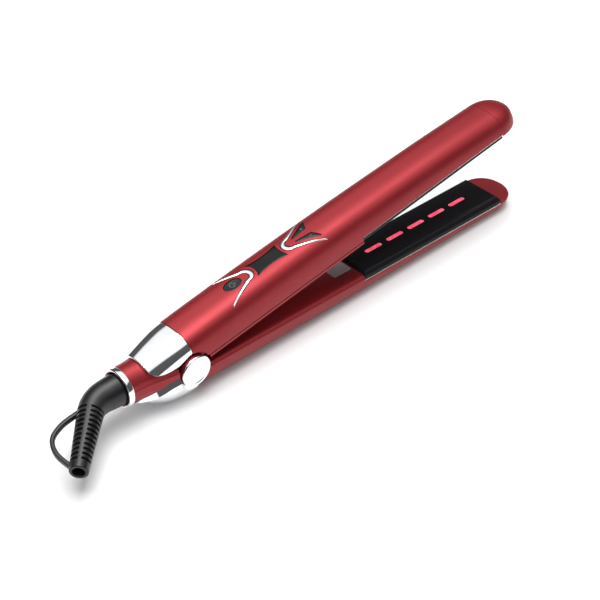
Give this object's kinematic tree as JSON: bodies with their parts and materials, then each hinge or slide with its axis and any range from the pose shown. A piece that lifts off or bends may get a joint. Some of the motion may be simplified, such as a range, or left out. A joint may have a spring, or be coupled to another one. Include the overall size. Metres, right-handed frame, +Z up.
{
  "type": "hair straightener",
  "caption": "Clamp-type hair straightening iron with two sprung arms, floating hot plates, display, push buttons and a swivelling cord boot with hang loop.",
  "frame": {"origin": "on the resting surface, at the centre line of the lower arm's flattened underside, 150 mm in front of the hinge axis", "axes": "+X from the hinge towards the tips, +Y across the arms, +Z up"},
  "size_m": [0.3228, 0.0481, 0.0649],
  "materials": {
    "red_casing": "satin metallic red lacquer",
    "silver_foil": "blank silver foil",
    "black_heatproof": "matt black heat-resistant plastic",
    "bezel_silver": "satin silver",
    "spring_steel": "bright steel wire",
    "lead_rubber": "silicone insulated lead",
    "circuit_board": "green glass-fibre board",
    "chrome_trim": "mirror chrome plating",
    "nylon": "plain nylon",
    "black_ceramic_plate": "glossy black ceramic coating on aluminium",
    "heater_ceramic": "alumina heater strip",
    "glow_lens": "glowing pink-red lens",
    "fuse_metal": "tinned can",
    "display_glass": "smoked black window",
    "display_body": "moulded plastic",
    "black_button": "satin black",
    "boot_rubber": "soft black rubber"
  },
  "bodies": {
    "lower_arm": {"lower_outer_shell": "red_casing", "lower_tip_cap": "red_casing", "lower_inner_shell": "red_casing", "blank_rating_plate": "silver_foil", "lower_plate_carrier": "black_heatproof", "lower_plate_bezel": "bezel_silver", "lower_plate_springs": "spring_steel", "lower_carrier_screws": "spring_steel", "lower_heater_leads": "lead_rubber", "glow_lamp_board": "circuit_board", "tail_housing": "red_casing", "tail_ring": "chrome_trim", "swivel_retainer": "nylon", "chrome_heel_trim": "chrome_trim", "hinge_pin": "spring_steel", "hinge_disc_near": "chrome_trim", "hinge_disc_far": "chrome_trim", "hinge_spring": "spring_steel"},
    "lower_plate": {"lower_heating_plate": "black_ceramic_plate", "lower_ceramic_heaters": "heater_ceramic", "glow_lenses": "glow_lens", "lower_thermal_fuse": "fuse_metal"},
    "upper_arm": {"upper_outer_shell": "red_casing", "upper_tip_cap": "red_casing", "upper_inner_shell": "red_casing", "hinge_washers": "nylon", "chrome_rear_cap": "chrome_trim", "rear_chevron_trim": "chrome_trim", "front_chevron_trim": "chrome_trim", "display_window": "display_glass", "display_module": "display_body", "control_board": "circuit_board", "tact_switches": "display_body", "upper_plate_carrier": "black_heatproof", "upper_plate_bezel": "bezel_silver", "upper_plate_springs": "spring_steel", "upper_carrier_screws": "spring_steel", "upper_heater_leads": "lead_rubber"},
    "upper_plate": {"upper_heating_plate": "black_ceramic_plate", "upper_ceramic_heaters": "heater_ceramic", "upper_thermistor": "fuse_metal"},
    "power_button": {"power_button": "black_button"},
    "plus_button": {"plus_button": "black_button"},
    "minus_button": {"minus_button": "black_button"},
    "cord_swivel": {"swivel_spigot": "nylon", "cord_boot": "boot_rubber", "hang_loop": "boot_rubber"}
  },
  "joints": [
    {"name": "arm_hinge", "type": "hinge", "parent": "lower_arm", "child": "upper_arm", "pos_m": [-0.14992, 0, 0.019], "axis": [0, 1, 0], "range_deg": [0, 9.7], "stiffness_Nm_per_rad": 1, "springref_deg": -20.05, "deforming": ["hinge_spring"]},
    {"name": "lower_plate_float", "type": "slide", "parent": "lower_arm", "child": "lower_plate", "axis": [-0.0317, 0, -0.9995], "range_m": [0, 0.0005], "stiffness_N_per_m": 3000, "springref_m": -0.001, "deforming": ["lower_plate_springs"]},
    {"name": "upper_plate_float", "type": "slide", "parent": "upper_arm", "child": "upper_plate", "axis": [-0.1371, 0, 0.9906], "range_m": [0, 0.0005], "stiffness_N_per_m": 3000, "springref_m": -0.001, "deforming": ["upper_plate_springs"]},
    {"name": "power_press", "type": "slide", "parent": "upper_arm", "child": "power_button", "axis": [0.1371, 0, -0.9906], "range_m": [0, 0.0004], "stiffness_N_per_m": 800, "springref_m": -0.001},
    {"name": "plus_press", "type": "slide", "parent": "upper_arm", "child": "plus_button", "axis": [0.1371, 0, -0.9906], "range_m": [0, 0.0004], "stiffness_N_per_m": 800, "springref_m": -0.001},
    {"name": "minus_press", "type": "slide", "parent": "upper_arm", "child": "minus_button", "axis": [0.1371, 0, -0.9906], "range_m": [0, 0.0004], "stiffness_N_per_m": 800, "springref_m": -0.001},
    {"name": "cord_swivel", "type": "hinge", "parent": "lower_arm", "child": "cord_swivel", "pos_m": [-0.18391, 0, 0.02008], "axis": [0.9995, 0, -0.0317], "continuous": true}
  ]
}
